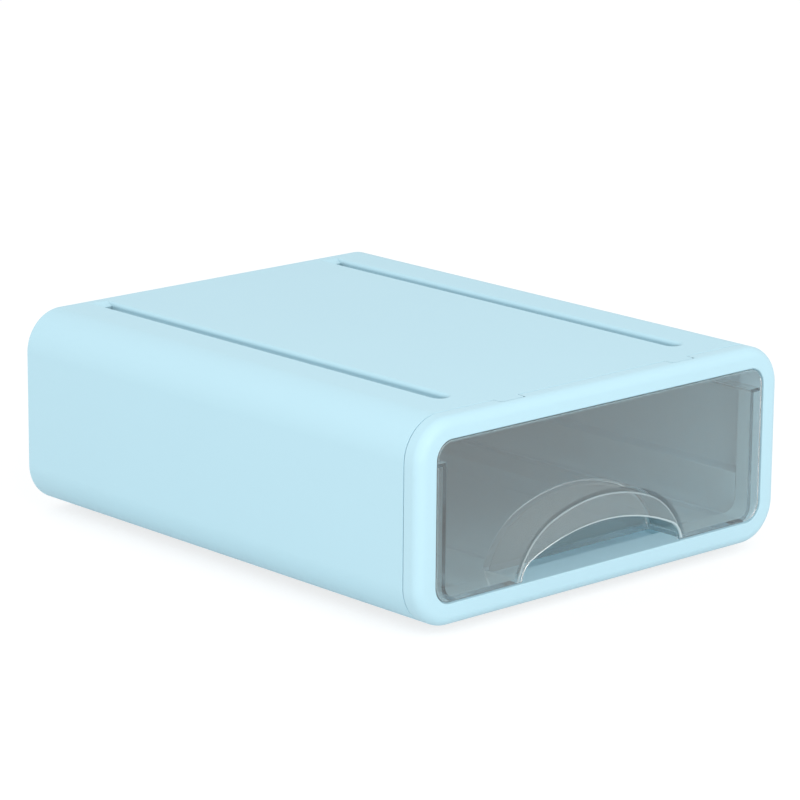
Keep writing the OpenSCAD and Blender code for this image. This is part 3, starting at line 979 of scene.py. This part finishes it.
def matrix_of(x, y, z, place):
    """The matrix that turns an object's axes to x, y and z and moves it to a place."""
    return Matrix((
        (x.x, y.x, z.x, place.x),
        (x.y, y.y, z.y, place.y),
        (x.z, y.z, z.z, place.z),
        (0, 0, 0, 1),
    ))


def make_camera():
    azimuth, elevation = math.radians(CAMERA_AZIMUTH), math.radians(CAMERA_ELEVATION)
    back = Vector((
        math.sin(azimuth) * math.cos(elevation),
        -math.cos(azimuth) * math.cos(elevation),
        math.sin(elevation),
    ))
    rotation = back.to_track_quat("Z", "Y")
    flat_right = rotation @ Vector((1, 0, 0))
    flat_up = rotation @ Vector((0, 1, 0))
    roll = math.radians(CAMERA_ROLL)
    right = flat_right * math.cos(roll) + flat_up * math.sin(roll)
    up = flat_up * math.cos(roll) - flat_right * math.sin(roll)
    data = bpy.data.cameras.new("camera")
    data.lens = CAMERA_LENS
    data.sensor_width = SENSOR_WIDTH
    data.clip_start, data.clip_end = CLIP_START, CLIP_END
    cam = bpy.data.objects.new("camera", data)
    bpy.context.scene.collection.objects.link(cam)
    aim = Vector((0, FACE_Y, MID_Z))
    place = aim + back * CAMERA_DISTANCE - right * AIM_RIGHT - up * AIM_UP
    cam.matrix_world = matrix_of(right, up, back, place)
    bpy.context.scene.camera = cam


def make_softbox(name, direction, distance, size, power):
    """A square lamp that faces the box from a direction."""
    data = bpy.data.lights.new(name, "AREA")
    data.shape = "SQUARE"
    data.size = size
    data.energy = power
    lamp = bpy.data.objects.new(name, data)
    direction = Vector(direction).normalized()
    lamp.location = Vector((0, 0, MID_Z)) + direction * distance
    lamp.rotation_mode = "QUATERNION"
    lamp.rotation_quaternion = direction.to_track_quat("Z", "Y")
    bpy.context.scene.collection.objects.link(lamp)


def seen_straight(nodes, links):
    """1 for what the camera sees, also in reflections and through clear plastic."""
    path = nodes.new("ShaderNodeLightPath")
    value = path.outputs["Is Camera Ray"]
    for name in ("Is Glossy Ray", "Is Transmission Ray"):
        value = maths(nodes, links, "MAXIMUM", value, path.outputs[name])
    return value


def background(nodes, strength):
    node = nodes.new("ShaderNodeBackground")
    node.inputs["Color"].default_value = WHITE
    node.inputs["Strength"].default_value = strength
    return node.outputs["Background"]


def make_world():
    """White surroundings, which light the box less brightly than they look."""
    world = bpy.data.worlds.new("studio")
    world.use_nodes = True
    nodes, links = world.node_tree.nodes, world.node_tree.links
    nodes.clear()
    out = nodes.new("ShaderNodeOutputWorld")
    light, white = background(nodes, WORLD_STRENGTH), background(nodes, SEEN_STRENGTH)
    mix = mixed(nodes, links, seen_straight(nodes, links), light, white)
    links.new(mix, out.inputs["Surface"])
    bpy.context.scene.world = world


def make_floor():
    """A pale floor that renders white away from the box and keeps the box's soft shadow."""
    far = FLOOR_REACH
    outline = [(-far, -far), (far, -far), (far, far), (-far, far)]
    mesh = bpy.data.meshes.new("floor")
    mesh.from_pydata(level(outline, 0.0), [], [(0, 1, 2, 3)])
    floor = bpy.data.objects.new("floor", mesh)
    bpy.context.scene.collection.objects.link(floor)
    mat = bpy.data.materials.new("floor")
    mat.use_nodes = True
    nodes, links = mat.node_tree.nodes, mat.node_tree.links
    nodes.clear()
    out = nodes.new("ShaderNodeOutputMaterial")
    glow = nodes.new("ShaderNodeEmission")
    glow.inputs["Strength"].default_value = FLOOR_GLOW
    seen = nodes.new("ShaderNodeAddShader")
    links.new(diffuse(nodes, SHADOW_COLOUR), seen.inputs[0])
    links.new(glow.outputs["Emission"], seen.inputs[1])
    lit = diffuse(nodes, FLOOR_COLOUR)
    mix = mixed(nodes, links, seen_straight(nodes, links), lit, seen.outputs["Shader"])
    links.new(mix, out.inputs["Surface"])
    mesh.materials.append(mat)


# ---------------------------------------------------------------- the scene


def dress(piece, body, node, slot, *materials):
    """Gives a piece its materials and puts it in a node's place."""
    piece.data.materials.clear()
    for material in materials:
        piece.data.materials.append(material)
    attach(piece, body)
    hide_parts(node)


make_camera()
make_world()
make_softbox("key", **KEY_LAMP)
make_softbox("overhead", **OVERHEAD_LAMP)
make_floor()

shell_blue = moulded_plastic("shell_plastic", SHELL_COLOUR, SHELL_ROUGHNESS)
frame_blue = moulded_plastic("frame_plastic", FRAME_COLOUR_PAINTED_DARKER, FRAME_ROUGHNESS)
black = rubber("foot_rubber", RUBBER_COLOUR)

# The drawer's materials: the plain one, then the bright, soft and faint painted highlights for
# round edges, then the thin wall.
drawer_looks = [
    smoky_clear("smoky_clear", SMOKY_TINT, SMOKE_SHARE, SMOKE_COLOUR),
    smoky_clear("smoky_bright_edge_highlight", SMOKY_TINT, BRIGHT_PAINTED_HIGHLIGHT),
    smoky_clear("smoky_soft_edge_highlight", SMOKY_TINT, SOFT_PAINTED_HIGHLIGHT),
    smoky_clear("smoky_faint_edge_highlight", SMOKY_TINT, FAINT_PAINTED_HIGHLIGHT),
    smoky_clear("smoky_thin_wall", WALL_TINT, SMOKE_SHARE, SMOKE_COLOUR, THIN_IOR, THIN_GLOSS),
]

dress(make_shell(), "housing", "shell", "shell_plastic", shell_blue)
dress(make_front_frame(), "housing", "front_frame", "frame_plastic", frame_blue)
drawer = make_drawer()
dress(drawer, "drawer", "drawer", "smoky_clear", *drawer_looks)
place_drawer_materials(drawer)
for end in ("front", "back"):
    for side_name, side in (("left", -1), ("right", 1)):
        name = f"foot_{end}_{side_name}"
        dress(make_foot(name, side), "housing", name, "foot_rubber", black)

bpy.context.scene.view_settings.view_transform = "Standard"
